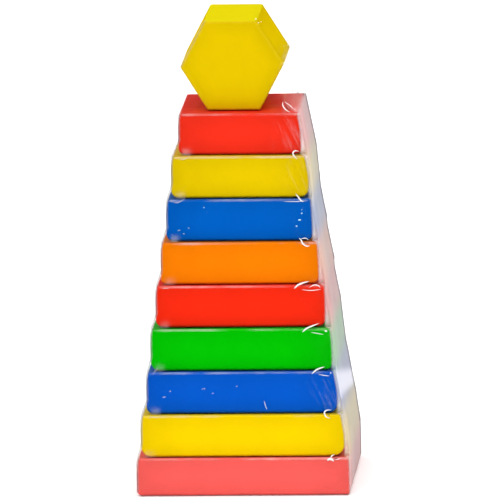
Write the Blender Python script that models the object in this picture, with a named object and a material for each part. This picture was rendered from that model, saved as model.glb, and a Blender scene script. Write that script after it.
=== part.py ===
"""Wooden stacking pyramid in its clear shrink film.

Nine square blocks of falling width and a hexagonal finial stand over one
round spindle that is glued into the lowest block. A clear film hood covers
the whole stack. Metres, +Z up, origin at the centre of the base's underside,
the front of the toy faces -Y.
"""

import math

import bmesh
import bpy
from mathutils import Vector

MM = 0.001

# Stack: the base first, then every loose block from the bottom up.
PITCH = 20.0 * MM              # height that one block adds to the stack
GAP = 0.3 * MM                 # space between pieces that rest on each other
BASE_WIDTH = 99.5 * MM
BASE_HEIGHT = 17.7 * MM
BLOCK_THICKNESS = PITCH - GAP
TOP_BLOCK_THICKNESS = 19.4 * MM
BLOCKS = (
    # name, width, sideways play at rest, lower left and lower right rounding,
    # how far the right side draws in at the top, colour
    ("block_2_yellow", 95.5 * MM, 0.1 * MM, (5.5 * MM, 6.0 * MM), 1.8 * MM, (0.94, 0.66, 0.004)),
    ("block_3_blue", 89.5 * MM, -0.1 * MM, (3.5 * MM, 4.5 * MM), 1.8 * MM, (0.004, 0.10, 0.60)),
    ("block_4_green", 85.0 * MM, -0.2 * MM, (4.6 * MM, 3.2 * MM), 0.8 * MM, (0.004, 0.55, 0.004)),
    ("block_5_red", 79.5 * MM, -0.4 * MM, (4.0 * MM, 4.0 * MM), 0.3 * MM, (0.95, 0.026, 0.007)),
    ("block_6_orange", 74.0 * MM, -0.5 * MM, (2.8 * MM, 3.5 * MM), 0.7 * MM, (0.98, 0.22, 0.003)),
    ("block_7_blue", 68.5 * MM, -0.5 * MM, (3.5 * MM, 3.2 * MM), 0.7 * MM, (0.004, 0.12, 0.55)),
    ("block_8_yellow", 64.5 * MM, 0.0, (3.8 * MM, 4.7 * MM), 1.7 * MM, (0.82, 0.60, 0.004)),
    ("block_9_red", 57.5 * MM, 0.0, (3.2 * MM, 2.6 * MM), 1.6 * MM, (0.91, 0.03, 0.012)),
)
BASE_ROUND = (2.6 * MM, 1.0 * MM)
BASE_CROWN = 0.2 * MM
BASE_COLOUR = (0.96, 0.10, 0.08)

# The batten's profile runs front to back, so the left and right sides are
# shaped, and the front and back are sawn flat.
CORNER_RADIUS = 1.2 * MM       # the upright edges, seen from above
TOP_EASING = 0.8 * MM          # upper edges at the front and the back
BOTTOM_EASING = 1.6 * MM       # lower edges at the front and the back
LEFT_CROWN = 0.9 * MM          # how far the left side draws in at the top,
LEFT_REACH = 7.0 * MM          # and over what height
RIGHT_REACH = 12.0 * MM
RING = 24                      # points round every block and bore

# Spindle and the holes it passes through.
SPINDLE_RADIUS = 5.0 * MM
SPINDLE_FLOOR = 4.0 * MM       # lower end, inside the base
SPINDLE_REACH = 12.0 * MM      # how far it stands into the finial
SPINDLE_TIP = 1.5 * MM         # chamfer of the free end
BORE_RADIUS = 6.0 * MM
BORE_MOUTH = 1.0 * MM          # chamfer at both ends of a bore
SOCKET_RADIUS = SPINDLE_RADIUS + GAP

# Finial: a hexagonal prism lying front to back on one of its flats.
HEX_SIDE = 24.4 * MM           # centre to corner
HEX_HEIGHT = 42.6 * MM         # flat to flat
HEX_FRONT = -21.5 * MM
HEX_BACK = 28.0 * MM
HEX_OFF_CENTRE = -3.35 * MM    # the prism stands a little left of the spindle
HEX_LEAN = -1.0 * MM           # top flat against bottom flat, hand-sawn
HEX_TWIST = 0.7 * MM           # left corner low and right corner high by this
HEX_CORNER = 1.2 * MM
HEX_COLOUR = (0.79, 0.56, 0.003)
SOCKET_DEPTH = 14.0 * MM

# Film hood.
FILM = 0.2 * MM                # wall
FILM_CLEAR = 0.3 * MM          # from the wood to the film's inner face
FILM_HEM = 1.6 * MM            # height of its open lower edge
FILM_TENT = 4.6 * MM           # height over which it leans across a ledge


def material(name, colour, roughness, alpha=1.0):
    mat = bpy.data.materials.new(name)
    mat.use_nodes = True
    shader = mat.node_tree.nodes["Principled BSDF"]
    shader.inputs["Base Color"].default_value = (*colour, 1.0)
    shader.inputs["Roughness"].default_value = roughness
    shader.inputs["Metallic"].default_value = 0.0
    shader.inputs["Alpha"].default_value = alpha
    mat.diffuse_color = (*colour, alpha)
    return mat


def finish_object(name, bm, mat, location=(0.0, 0.0, 0.0), angle=30.0):
    mesh = bpy.data.meshes.new(name)
    bmesh.ops.recalc_face_normals(bm, faces=bm.faces)
    bm.to_mesh(mesh)
    bm.free()
    mesh.shade_smooth()
    mesh.set_sharp_from_angle(angle=math.radians(angle))
    mesh.materials.append(mat)
    obj = bpy.data.objects.new(name, mesh)
    obj.location = location
    bpy.context.scene.collection.objects.link(obj)
    return obj


def rounded_rectangle(x0, x1, y0, y1, radius, count=RING):
    """Points counter-clockwise from above, starting at the right-front corner."""
    per_corner = count // 4
    points = []
    for corner, (cx, cy) in enumerate(
        (
            (x1 - radius, y0 + radius),
            (x1 - radius, y1 - radius),
            (x0 + radius, y1 - radius),
            (x0 + radius, y0 + radius),
        )
    ):
        start = -math.pi / 2 + corner * math.pi / 2
        for step in range(per_corner):
            turn = start + math.pi / 2 * step / (per_corner - 1)
            points.append((cx + radius * math.cos(turn), cy + radius * math.sin(turn)))
    return points


def square_ring(bm, x0, x1, half_y, radius, z):
    return [
        bm.verts.new((x, y, z))
        for x, y in rounded_rectangle(x0, x1, -half_y, half_y, radius)
    ]


def round_ring(bm, radius, z, count=RING, centre=(0.0, 0.0)):
    """A circle whose points stand opposite those of a square ring."""
    start = -math.pi / 2 + math.pi / count
    return [
        bm.verts.new(
            (
                centre[0] + radius * math.cos(start + 2 * math.pi * k / count),
                centre[1] + radius * math.sin(start + 2 * math.pi * k / count),
                z,
            )
        )
        for k in range(count)
    ]


def skin(bm, rings):
    for low, high in zip(rings, rings[1:]):
        for k in range(len(low)):
            after = (k + 1) % len(low)
            bm.faces.new((low[k], low[after], high[after], high[k]))


def quarter_round(share):
    """How far in a rounded edge still is at this share of its height: 1 at the bottom, 0 at the top."""
    rest = 1 - min(max(share, 0.0), 1.0)
    return 1 - math.sqrt(1 - rest * rest)


def drawn_in(share):
    """How far in a side still leans at this share of the height over which it does: 1 at the top, 0 below."""
    return max(1 - share, 0.0) ** 1.4


def block_rings(bm, width, height, rounding, crown):
    """The outside of a block from its underside's rim to its top's rim."""
    half = width / 2
    left, right = rounding
    most = max(left, right, BOTTOM_EASING)
    levels = [0.0, 0.3 * MM, 1.0 * MM, 0.45 * most + 0.3 * MM, 0.7 * most + 0.3 * MM, most]
    levels += [height - down * MM for down in (11.5, 8.0, 5.0, 2.5, 0.8, 0.24, 0.0)]
    rings = []
    for z in levels:
        low = [reach * quarter_round(z / reach) for reach in (left, right, BOTTOM_EASING)]
        high = (
            LEFT_CROWN * drawn_in((height - z) / LEFT_REACH),
            crown * drawn_in((height - z) / RIGHT_REACH),
            TOP_EASING * quarter_round((height - z) / TOP_EASING),
        )
        rings.append(
            square_ring(
                bm,
                -half + low[0] + high[0],
                half - low[1] - high[1],
                half - low[2] - high[2],
                CORNER_RADIUS,
                z,
            )
        )
    return rings


def bored_block(name, width, height, rounding, crown, mat, location, offset):
    """A block with a through bore; the bore stays on the block's own centre."""
    bm = bmesh.new()
    outside = block_rings(bm, width, height, rounding, crown)
    bore = [
        round_ring(bm, BORE_RADIUS + BORE_MOUTH, height),
        round_ring(bm, BORE_RADIUS, height - BORE_MOUTH),
        round_ring(bm, BORE_RADIUS, BORE_MOUTH),
        round_ring(bm, BORE_RADIUS + BORE_MOUTH, 0.0),
    ]
    skin(bm, outside + bore + outside[:1])
    return finish_object(
        name, bm, mat, (location[0] + offset, location[1], location[2])
    )


def base_block(name, mat):
    bm = bmesh.new()
    outside = block_rings(bm, BASE_WIDTH, BASE_HEIGHT, BASE_ROUND, BASE_CROWN)
    floor = SPINDLE_FLOOR - GAP
    socket = [
        round_ring(bm, SOCKET_RADIUS + BORE_MOUTH, BASE_HEIGHT),
        round_ring(bm, SOCKET_RADIUS, BASE_HEIGHT - BORE_MOUTH),
        round_ring(bm, SOCKET_RADIUS, floor),
    ]
    skin(bm, outside + socket)
    bm.faces.new(outside[0])
    bm.faces.new(socket[-1])
    return finish_object(name, bm, mat)


def spindle(name, top, mat):
    bm = bmesh.new()
    length = top - SPINDLE_FLOOR
    rings = [
        round_ring(bm, SPINDLE_RADIUS - 0.5 * MM, 0.0),
        round_ring(bm, SPINDLE_RADIUS, 0.5 * MM),
        round_ring(bm, SPINDLE_RADIUS, length - SPINDLE_TIP),
        round_ring(bm, SPINDLE_RADIUS - 0.5 * SPINDLE_TIP, length - 0.4 * SPINDLE_TIP),
        round_ring(bm, SPINDLE_RADIUS - SPINDLE_TIP, length),
    ]
    skin(bm, rings)
    bm.faces.new(rings[0])
    bm.faces.new(rings[-1])
    return finish_object(name, bm, mat, (0.0, 0.0, SPINDLE_FLOOR))


def hexagon_corners():
    """The six corners seen from the front, x against z, z from the lower flat."""
    corners = []
    for k in range(6):
        turn = math.pi / 3 * k
        x, z = HEX_SIDE * math.cos(turn), HEX_HEIGHT / 2 * math.sin(turn) / math.sin(math.pi / 3)
        lean = HEX_LEAN * z / HEX_HEIGHT
        twist = HEX_TWIST * math.cos(turn) if k in (0, 3) else 0.0
        corners.append(Vector((x + lean, z + HEX_HEIGHT / 2 + twist)))
    return corners


def rounded_polygon(corners, radius, steps=3):
    points = []
    count = len(corners)
    for k, corner in enumerate(corners):
        before = (corners[k - 1] - corner).normalized()
        after = (corners[(k + 1) % count] - corner).normalized()
        half = before.angle(after) / 2
        reach = radius / math.tan(half)
        centre = corner + (before + after).normalized() * radius / math.sin(half)
        first = corner + before * reach - centre
        last = corner + after * reach - centre
        for step in range(steps + 1):
            share = step / steps
            spoke = (first * (1 - share) + last * share).normalized() * radius
            points.append(centre + spoke)
    return points


def inset_polygon(corners, depth):
    """Every side moved inwards by depth."""
    moved = []
    count = len(corners)
    for k, corner in enumerate(corners):
        before = (corners[k - 1] - corner).normalized()
        after = (corners[(k + 1) % count] - corner).normalized()
        half = before.angle(after) / 2
        moved.append(corner + (before + after).normalized() * depth / math.sin(half))
    return moved


def finial(name, z, mat):
    bm = bmesh.new()
    corners = hexagon_corners()
    rings = []
    steps = 3
    for end, direction in ((HEX_FRONT, 1), (HEX_BACK, -1)):
        part = []
        for step in range(steps + 1):
            turn = math.pi / 2 * step / steps
            inset = HEX_CORNER * (1 - math.sin(turn))
            y = end + direction * HEX_CORNER * (1 - math.cos(turn))
            outline = rounded_polygon(
                inset_polygon(corners, inset), max(HEX_CORNER - inset, 0.35 * MM)
            )
            part.append([bm.verts.new((p.x, y, p.y)) for p in outline])
        rings.append(part if direction > 0 else part[::-1])
    rings = rings[0] + rings[1]
    skin(bm, rings)
    bm.faces.new(rings[0])
    bm.faces.new(rings[-1])
    body = finish_object(name, bm, mat, (HEX_OFF_CENTRE, 0.0, z))

    cut = bmesh.new()
    socket = [
        round_ring(cut, BORE_RADIUS + BORE_MOUTH + 1.0 * MM, -1.0 * MM),
        round_ring(cut, BORE_RADIUS, BORE_MOUTH),
        round_ring(cut, BORE_RADIUS, SOCKET_DEPTH),
    ]
    skin(cut, socket)
    cut.faces.new(socket[0])
    cut.faces.new(socket[-1])
    cutter = finish_object("finial_socket_cutter", cut, mat, (0.0, 0.0, z))
    cutter.hide_render = True
    cutter.display_type = "WIRE"
    hole = body.modifiers.new("socket", "BOOLEAN")
    hole.operation = "DIFFERENCE"
    hole.solver = "EXACT"
    hole.object = cutter
    return body


def film_sections(stack, hex_z):
    """(z, left, right, front, back, corner radius) of the film's inner face, from the hem up.

    It only ever widens downwards, so that it lifts straight off. At the left
    and the front it lies against each block and leans across the ledge above
    it; at the right and the back it runs straight from one ledge to the next.
    """
    c = FILM_CLEAR
    sections = []
    for k, (width, offset, low, high) in enumerate(stack):
        half = width / 2
        left, right, front, back = (offset - half - c, offset + half + c, -half - c, half + c)
        radius = CORNER_RADIUS + c
        if k == 0:
            sections.append((FILM_HEM, left, right, front, back, radius))
        if k + 1 < len(stack):
            sections.append((high - TOP_EASING, left, right, front, back, radius))
            wide, slip, above, top = stack[k + 1]
            sections.append((high + c, left + 0.15 * MM, right - 0.05 * MM, front + 0.15 * MM, back - 0.05 * MM, radius))
            share = FILM_TENT / (top - high)
            next_half = wide / 2
            next_right, next_back = slip + next_half + c, next_half + c
            sections.append(
                (
                    high + FILM_TENT,
                    slip - next_half - c,
                    right + (next_right - right) * share,
                    -next_half - c,
                    back + (next_back - back) * share,
                    radius,
                )
            )
        else:
            sections.append((high - TOP_EASING, left, right, front, back, radius))
            sections.append((high + c, left + 0.5 * MM, right - 0.5 * MM, front + 0.5 * MM, back - 0.5 * MM, radius))
    corners = hexagon_corners()
    low_left = min(p.x for p in corners) + HEX_OFF_CENTRE - c
    far_right = max(p.x for p in corners) + HEX_OFF_CENTRE + c
    hex_front, hex_back = HEX_FRONT - c, HEX_BACK + c
    top_z, rim = sections[-1][0], sections[-1]
    for rise, share in ((0.35 * MM, 0.45), (1.6 * MM, 0.80), (4.5 * MM, 1.0)):
        sections.append(
            (
                top_z + rise,
                rim[1] + (low_left - rim[1]) * share,
                rim[2] + (far_right - rim[2]) * share,
                rim[3] + (hex_front - rim[3]) * share,
                rim[4] + (hex_back - rim[4]) * share,
                1.5 * MM + (rim[5] - 1.5 * MM) * (1 - share),
            )
        )
    left_corner = min(corners, key=lambda p: p.x)
    right_corner = max(corners, key=lambda p: p.x)
    upper = sorted((p for p in corners if p.y > HEX_HEIGHT * 0.9), key=lambda p: p.x)

    def side(z, corner, top):
        if z <= corner.y:
            return corner.x
        share = (z - corner.y) / (top.y - corner.y)
        return corner.x + (top.x - corner.x) * share

    heights = sorted({left_corner.y, right_corner.y, HEX_HEIGHT * 0.75, HEX_HEIGHT - HEX_CORNER, HEX_HEIGHT})
    for z in heights:
        sections.append(
            (
                hex_z + z + 0.6 * c if z < HEX_HEIGHT else hex_z + z + c,
                side(z, left_corner, upper[0]) + HEX_OFF_CENTRE - c - 0.2 * MM * (z < HEX_HEIGHT),
                side(z, right_corner, upper[-1]) + HEX_OFF_CENTRE + c + 0.2 * MM * (z < HEX_HEIGHT),
                hex_front + 0.5 * MM * (z >= HEX_HEIGHT),
                hex_back - 0.5 * MM * (z >= HEX_HEIGHT),
                1.5 * MM,
            )
        )
    return sections


def film_hood(name, stack, hex_z, mat):
    bm = bmesh.new()
    sections = film_sections(stack, hex_z)
    inner = [
        [bm.verts.new((x, y, z)) for x, y in rounded_rectangle(left, right, front, back, radius)]
        for z, left, right, front, back, radius in sections
    ]
    outer = [
        [
            bm.verts.new((x, y, z + (FILM if k else 0.0)))
            for x, y in rounded_rectangle(
                left - FILM, right + FILM, front - FILM, back + FILM, radius + FILM
            )
        ]
        for k, (z, left, right, front, back, radius) in enumerate(sections)
    ]
    skin(bm, outer[::-1] + inner)
    bm.faces.new(outer[-1])
    bm.faces.new(inner[-1])
    return finish_object(name, bm, mat, angle=20.0)


def main():
    for obj in list(bpy.data.objects):
        bpy.data.objects.remove(obj, do_unlink=True)

    base_block("block_1_coral", material("coral_lacquer", BASE_COLOUR, 0.35))
    stack = [(BASE_WIDTH, 0.0, 0.0, BASE_HEIGHT)]
    z = BASE_HEIGHT + GAP
    for name, width, offset, rounding, crown, colour in BLOCKS:
        height = TOP_BLOCK_THICKNESS if name == BLOCKS[-1][0] else BLOCK_THICKNESS
        bored_block(
            name,
            width,
            height,
            rounding,
            crown,
            material(name + "_lacquer", colour, 0.35),
            (0.0, 0.0, z),
            offset,
        )
        stack.append((width, offset, z, z + height))
        z += height + GAP
    finial("hexagon_finial", z, material("finial_lacquer", HEX_COLOUR, 0.35))
    spindle("spindle", z + SPINDLE_REACH, material("bare_wood", (0.66, 0.46, 0.27), 0.6))
    film_hood("shrink_film", stack, z, material("clear_film", (0.95, 0.96, 0.97), 0.1, 0.2))


main()
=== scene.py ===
"""Looks of the wooden stacking pyramid in its clear shrink film.

Every solid keeps the size and place of its CAD node. The blocks, the finial
and the spindle get finer meshes with hand-sanded edges and lacquer or bare
wood on them, and the film gets its real folds. The front of the toy faces -Y.
"""

import math
import random

import bmesh
import bpy
import numpy as np
from mathutils import Matrix, Vector, noise


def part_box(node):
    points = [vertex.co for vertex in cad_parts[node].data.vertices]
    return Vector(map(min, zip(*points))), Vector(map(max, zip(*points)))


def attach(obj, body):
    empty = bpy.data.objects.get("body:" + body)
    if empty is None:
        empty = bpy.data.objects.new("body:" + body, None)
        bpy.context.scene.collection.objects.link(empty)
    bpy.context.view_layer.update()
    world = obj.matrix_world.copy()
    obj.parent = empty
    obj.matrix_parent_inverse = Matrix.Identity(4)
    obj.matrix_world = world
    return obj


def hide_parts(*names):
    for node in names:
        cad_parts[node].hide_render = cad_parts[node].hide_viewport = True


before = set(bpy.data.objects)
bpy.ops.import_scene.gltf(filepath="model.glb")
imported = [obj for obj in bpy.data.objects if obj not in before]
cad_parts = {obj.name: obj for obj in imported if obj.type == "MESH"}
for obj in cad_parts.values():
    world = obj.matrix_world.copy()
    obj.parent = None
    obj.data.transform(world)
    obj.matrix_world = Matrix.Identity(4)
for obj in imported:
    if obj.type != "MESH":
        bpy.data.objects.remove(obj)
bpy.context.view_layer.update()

MM = 0.001

# ---------------------------------------------------------------- camera

AZIMUTH, ELEVATION, ROLL = math.radians(3.67), math.radians(9.96), math.radians(1.05)
DISTANCE = 8.0
SCALE = 2132.0  # image points per metre at the target, in a picture 500 wide
TARGET = Vector((0.0, 0.0, 0.1))
TARGET_AT = (245.8, 266.3)


def make_camera():
    back = Vector(
        (
            math.sin(AZIMUTH) * math.cos(ELEVATION),
            -math.cos(AZIMUTH) * math.cos(ELEVATION),
            math.sin(ELEVATION),
        )
    )
    level = Vector((math.cos(AZIMUTH), math.sin(AZIMUTH), 0.0))
    upright = back.cross(level)
    right = math.cos(ROLL) * level - math.sin(ROLL) * upright
    up = math.sin(ROLL) * level + math.cos(ROLL) * upright
    look_at = (
        TARGET
        + right * ((250.0 - TARGET_AT[0]) / SCALE)
        - up * ((250.0 - TARGET_AT[1]) / SCALE)
    )
    data = bpy.data.cameras.new("camera")
    data.sensor_width = 36.0
    data.lens = SCALE * DISTANCE / 500.0 * 36.0
    data.clip_start, data.clip_end = 0.1, 200.0
    cam = bpy.data.objects.new("camera", data)
    cam.matrix_world = Matrix.Translation(look_at + back * DISTANCE) @ Matrix(
        (
            (right.x, up.x, back.x),
            (right.y, up.y, back.y),
            (right.z, up.z, back.z),
        )
    ).to_4x4()
    bpy.context.scene.collection.objects.link(cam)
    bpy.context.scene.camera = cam


make_camera()


# ---------------------------------------------------------------- node helpers


class Nodes:
    """A few short ways to write a node tree."""

    def __init__(self, tree):
        self.tree = tree
        tree.nodes.clear()

    def add(self, kind, **settings):
        node = self.tree.nodes.new(kind)
        for key, value in settings.items():
            setattr(node, key, value)
        return node

    def put(self, socket, value):
        if isinstance(value, bpy.types.NodeSocket):
            self.tree.links.new(value, socket)
        else:
            socket.default_value = value

    def math(self, operation, *values, clamp=False):
        node = self.add("ShaderNodeMath", operation=operation, use_clamp=clamp)
        for socket, value in zip(node.inputs, values):
            self.put(socket, value)
        return node.outputs[0]

    def vector(self, operation, *values):
        node = self.add("ShaderNodeVectorMath", operation=operation)
        for socket, value in zip(node.inputs, values):
            self.put(socket, value)
        return node.outputs["Value" if operation in ("LENGTH", "DOT_PRODUCT") else "Vector"]

    def place(self, vector, location=(0, 0, 0), scale=(1, 1, 1), rotation=(0, 0, 0)):
        node = self.add("ShaderNodeMapping")
        self.put(node.inputs["Vector"], vector)
        node.inputs["Location"].default_value = location
        node.inputs["Scale"].default_value = scale
        node.inputs["Rotation"].default_value = rotation
        return node.outputs[0]

    def noise(self, vector, scale, detail=2.0, roughness=0.5, distortion=0.0):
        node = self.add("ShaderNodeTexNoise")
        self.put(node.inputs["Vector"], vector)
        node.inputs["Scale"].default_value = scale
        node.inputs["Detail"].default_value = detail
        node.inputs["Roughness"].default_value = roughness
        node.inputs["Distortion"].default_value = distortion
        return node.outputs["Fac"]

    def remap(self, value, a, b, c, d, smooth=False):
        node = self.add(
            "ShaderNodeMapRange",
            interpolation_type="SMOOTHSTEP" if smooth else "LINEAR",
        )
        self.put(node.inputs["Value"], value)
        for key, number in zip(("From Min", "From Max", "To Min", "To Max"), (a, b, c, d)):
            node.inputs[key].default_value = number
        return node.outputs["Result"]

    def mix(self, factor, a, b):
        node = self.add("ShaderNodeMix", data_type="RGBA")
        self.put(node.inputs["Factor"], factor)
        sockets = [s for s in node.inputs if s.type == "RGBA"]
        for socket, value in zip(sockets, (a, b)):
            self.put(socket, value)
        return [s for s in node.outputs if s.type == "RGBA"][0]

    def attribute(self, name):
        return self.add("ShaderNodeAttribute", attribute_name=name).outputs["Fac"]

    def millimetres(self):
        coords = self.add("ShaderNodeTexCoord").outputs["Object"]
        return self.place(coords, scale=(1000.0, 1000.0, 1000.0))

    def bump(self, height, distance, strength, normal=None):
        node = self.add("ShaderNodeBump")
        node.inputs["Strength"].default_value = strength
        node.inputs["Distance"].default_value = distance
        self.put(node.inputs["Height"], height)
        if normal is not None:
            self.put(node.inputs["Normal"], normal)
        return node.outputs[0]


def new_material(name):
    mat = bpy.data.materials.new(name)
    mat.use_nodes = True
    return mat, Nodes(mat.node_tree)


# ---------------------------------------------------------------- materials


def lacquer(name, colour, pith, seed, upper=None, roughness=0.33, ends=None, gloss=0.08, lit=None):
    """Opaque gloss paint on a batten whose grain runs front to back.

    pith is the centre of its annual rings, (x, z) in mm. upper is the
    (centre x, half-width, height) in mm of the square that the block above
    has rubbed on the top face. ends is the (centre x, half-width) in mm of
    the face, which is painted darker towards its two ends as painted shade.
    lit is (height in mm, colour) of a top facet that is painted lighter, as
    painted light falling from above.
    """
    mat, n = new_material(name)
    point = n.millimetres()
    shifted = n.place(point, location=(seed * 13.7, seed * 7.3, seed * 3.1))

    split = n.add("ShaderNodeSeparateXYZ")
    n.put(split.inputs[0], point)
    join = n.add("ShaderNodeCombineXYZ")
    n.put(join.inputs[0], n.math("SUBTRACT", split.outputs[0], pith[0]))
    n.put(join.inputs[2], n.math("SUBTRACT", split.outputs[2], pith[1]))
    wobble = n.noise(n.place(shifted, scale=(1.0, 0.12, 1.0)), 0.045, 2.0)
    reach = n.math("ADD", n.vector("LENGTH", join.outputs[0]), n.math("MULTIPLY", wobble, 9.0))
    ring = n.math("SINE", n.math("MULTIPLY", reach, 2 * math.pi / 3.3))
    ring = n.math("MULTIPLY", ring, n.noise(shifted, 0.05, 1.0))

    pores = n.noise(n.place(shifted, scale=(1.0, 0.045, 1.0)), 1.3, 4.0, 0.6)
    mottle = n.noise(shifted, 0.028, 3.0, 0.55)
    cloud = n.noise(shifted, 0.16, 2.0, 0.5)
    speck = n.noise(shifted, 2.6, 2.0, 0.6)
    rim = n.attribute("rim")
    low = n.attribute("low")

    value = n.math("ADD", n.remap(mottle, 0.3, 0.7, 0.975, 1.025), n.math("MULTIPLY", ring, 0.012))
    value = n.math("ADD", value, n.remap(pores, 0.3, 0.7, -0.016, 0.016))
    value = n.math("ADD", value, n.remap(cloud, 0.3, 0.7, -0.012, 0.012))
    value = n.math("ADD", value, n.remap(speck, 0.35, 0.65, -0.010, 0.010))
    # painted shade: the colour is a little darker towards the edges; the sprayed coat is also thin right on them
    value = n.math("MULTIPLY", value, n.remap(rim, 0.0, 9.0, 0.90, 1.0, smooth=True))
    # painted shade: darker towards the face's two ends
    if ends is not None:
        centre, half = ends
        off = n.math("ABSOLUTE", n.math("SUBTRACT", split.outputs[0], centre))
        value = n.math("MULTIPLY", value, n.remap(off, half - 24.0, half - 2.0, 1.0, 0.925, smooth=True))
    # painted shade: darker along the very bottom, where the block stands on the next
    value = n.math("MULTIPLY", value, n.remap(n.math("ADD", low, n.remap(cloud, 0.3, 0.7, -0.15, 0.15)), 0.0, 1.3, 0.50, 1.0, smooth=True))
    lean = n.math("MULTIPLY", n.remap(rim, 0.25, 0.9, 1.0, 0.0, smooth=True), n.remap(pores, 0.42, 0.66, 0.0, 1.0))

    tone = n.add("ShaderNodeHueSaturation")
    tone.inputs["Color"].default_value = (*colour, 1.0)
    n.put(tone.inputs["Value"], value)
    wood_showing = tuple(0.86 * c + 0.14 * w for c, w in zip(colour, (0.75, 0.58, 0.38)))
    painted = n.mix(n.math("MULTIPLY", lean, 0.22), tone.outputs[0], (*wood_showing, 1.0))

    # painted light: the top facet is painted lighter, as light from above falls on it
    if lit is not None:
        height, lit_colour = lit
        painted = n.mix(n.remap(split.outputs[2], height - 0.7, height - 0.2, 0.0, 0.9), painted, (*lit_colour, 1.0))
    rough = n.remap(cloud, 0.3, 0.7, roughness - 0.05, roughness + 0.06)
    rough = n.math("ADD", rough, n.math("MULTIPLY", lean, 0.10))
    if upper is not None:
        cx, half, top = upper
        away = n.math(
            "MAXIMUM",
            n.math("ABSOLUTE", n.math("SUBTRACT", split.outputs[0], cx)),
            n.math("ABSOLUTE", split.outputs[1]),
        )
        inside = n.remap(n.math("ADD", away, n.remap(cloud, 0.3, 0.7, -0.5, 0.5)), half - 7.0, half - 1.6, 0.0, 1.0)
        line = n.math("MULTIPLY", inside, n.remap(away, half - 0.9, half - 0.2, 1.0, 0.0))
        on_top = n.math("GREATER_THAN", split.outputs[2], top - 0.5)
        rub = n.math("MULTIPLY", n.math("MULTIPLY", line, on_top), n.remap(pores, 0.38, 0.62, 0.25, 1.0))
        dusty = tuple(0.72 * c + 0.28 * 0.62 for c in colour)
        painted = n.mix(n.math("MULTIPLY", rub, 0.38), painted, (*dusty, 1.0))
        rough = n.math("ADD", rough, n.math("MULTIPLY", rub, 0.22))

    surface = n.bump(pores, 0.00006, 0.35)
    surface = n.bump(n.math("ADD", n.math("MULTIPLY", ring, 0.5), 0.5), 0.00005, 0.22, surface)
    surface = n.bump(n.noise(shifted, 0.55, 2.0, 0.5), 0.00014, 0.16, surface)

    shader = n.add("ShaderNodeBsdfPrincipled")
    n.put(shader.inputs["Base Color"], painted)
    n.put(shader.inputs["Roughness"], rough)
    shader.inputs["Specular IOR Level"].default_value = gloss
    top_colour = max(colour)
    shader.inputs["Specular Tint"].default_value = (
        *(0.01 + 0.99 * c / top_colour for c in colour),
        1.0,
    )
    n.put(shader.inputs["Normal"], surface)
    out = n.add("ShaderNodeOutputMaterial")
    n.put(out.inputs["Surface"], shader.outputs[0])
    return mat


def bare_wood(name, along, seed):
    """Unpainted beech with its grain along the axis of that name."""
    mat, n = new_material(name)
    point = n.place(n.millimetres(), location=(seed * 5.1, seed * 9.7, seed * 2.3))
    squeeze = {"x": (0.03, 1.0, 1.0), "y": (1.0, 0.03, 1.0), "z": (1.0, 1.0, 0.03)}[along]
    streak = n.noise(n.place(point, scale=squeeze), 0.9, 5.0, 0.62)
    broad = n.noise(n.place(point, scale=squeeze), 0.22, 2.0, 0.5)
    fleck = n.noise(n.place(point, scale=tuple(0.16 if s < 0.1 else s for s in squeeze)), 2.4, 2.0, 0.5)
    base = n.mix(n.remap(streak, 0.3, 0.7, 0.0, 1.0), (0.44, 0.27, 0.125, 1.0), (0.66, 0.46, 0.26, 1.0))
    base = n.mix(n.remap(broad, 0.35, 0.7, 0.0, 0.45), base, (0.72, 0.53, 0.33, 1.0))
    base = n.mix(n.remap(fleck, 0.60, 0.70, 0.0, 0.55), base, (0.33, 0.18, 0.08, 1.0))
    surface = n.bump(streak, 0.00012, 0.5)
    surface = n.bump(fleck, 0.00008, 0.35, surface)
    shader = n.add("ShaderNodeBsdfPrincipled")
    n.put(shader.inputs["Base Color"], base)
    n.put(shader.inputs["Roughness"], n.remap(streak, 0.3, 0.7, 0.52, 0.68))
    shader.inputs["Specular IOR Level"].default_value = 0.4
    n.put(shader.inputs["Normal"], surface)
    out = n.add("ShaderNodeOutputMaterial")
    n.put(out.inputs["Surface"], shader.outputs[0])
    return mat


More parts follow.
